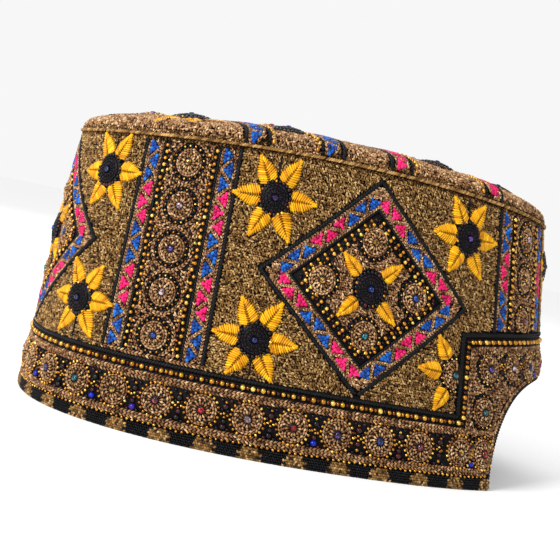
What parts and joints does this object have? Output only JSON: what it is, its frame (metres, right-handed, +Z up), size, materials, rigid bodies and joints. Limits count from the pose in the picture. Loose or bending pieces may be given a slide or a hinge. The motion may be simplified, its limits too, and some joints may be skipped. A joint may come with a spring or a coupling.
{
  "type": "embroidered balochi cap",
  "caption": "Stiff oval embroidered Balochi cap with an arched front cut-out, beaded rosettes, diamonds and sunflowers, open below for the head.",
  "frame": {"origin": "centre of the bounding box's lower face, on the surface the rim stands on", "axes": "+Z up to the crown, -Y towards the wearer's front (the arched cut-out), +X the wearer's left side"},
  "size_m": [0.1418, 0.1958, 0.1126],
  "materials": {
    "embroidered_cloth": "dense tan-gold looped thread over stiff cotton",
    "rosette_embroidery": "raised tan-gold thread rosettes with seed beads",
    "tan_braid": "twisted tan-gold braid",
    "black_braid": "black shiny cord",
    "checked_binding": "tan and black checked thread binding",
    "yellow_satin_stitch": "golden yellow satin stitch",
    "dark_bead_boss": "dark wound thread with tiny beads"
  },
  "bodies": {
    "root": {"arch_border": "rosette_embroidery", "arch_edge": "black_braid", "band_back_left": "rosette_embroidery", "band_back_right": "rosette_embroidery", "band_front_left": "rosette_embroidery", "band_front_right": "rosette_embroidery", "crown_braid": "tan_braid", "crown_flower_1_boss": "dark_bead_boss", "crown_flower_1_petals": "yellow_satin_stitch", "crown_flower_2_boss": "dark_bead_boss", "crown_flower_2_petals": "yellow_satin_stitch", "crown_flower_3_boss": "dark_bead_boss", "crown_flower_3_petals": "yellow_satin_stitch", "crown_flower_4_boss": "dark_bead_boss", "crown_flower_4_petals": "yellow_satin_stitch", "crown_lattice": "rosette_embroidery", "crown_medallion": "dark_bead_boss", "crown_panel": "embroidered_cloth", "diamond_back": "rosette_embroidery", "diamond_front": "rosette_embroidery", "diamond_left": "rosette_embroidery", "diamond_right": "rosette_embroidery", "flower_01_boss": "dark_bead_boss", "flower_01_petals": "yellow_satin_stitch", "flower_02_boss": "dark_bead_boss", "flower_02_petals": "yellow_satin_stitch", "flower_03_boss": "dark_bead_boss", "flower_03_petals": "yellow_satin_stitch", "flower_04_boss": "dark_bead_boss", "flower_04_petals": "yellow_satin_stitch", "flower_05_boss": "dark_bead_boss", "flower_05_petals": "yellow_satin_stitch", "flower_06_boss": "dark_bead_boss", "flower_06_petals": "yellow_satin_stitch", "flower_07_boss": "dark_bead_boss", "flower_07_petals": "yellow_satin_stitch", "flower_08_boss": "dark_bead_boss", "flower_08_petals": "yellow_satin_stitch", "flower_09_boss": "dark_bead_boss", "flower_09_petals": "yellow_satin_stitch", "flower_10_boss": "dark_bead_boss", "flower_10_petals": "yellow_satin_stitch", "flower_11_boss": "dark_bead_boss", "flower_11_petals": "yellow_satin_stitch", "flower_12_boss": "dark_bead_boss", "flower_12_petals": "yellow_satin_stitch", "flower_13_boss": "dark_bead_boss", "flower_13_petals": "yellow_satin_stitch", "flower_14_boss": "dark_bead_boss", "flower_14_petals": "yellow_satin_stitch", "hem_binding": "checked_binding", "hem_border": "rosette_embroidery", "side_wall": "embroidered_cloth"}
  },
  "joints": []
}
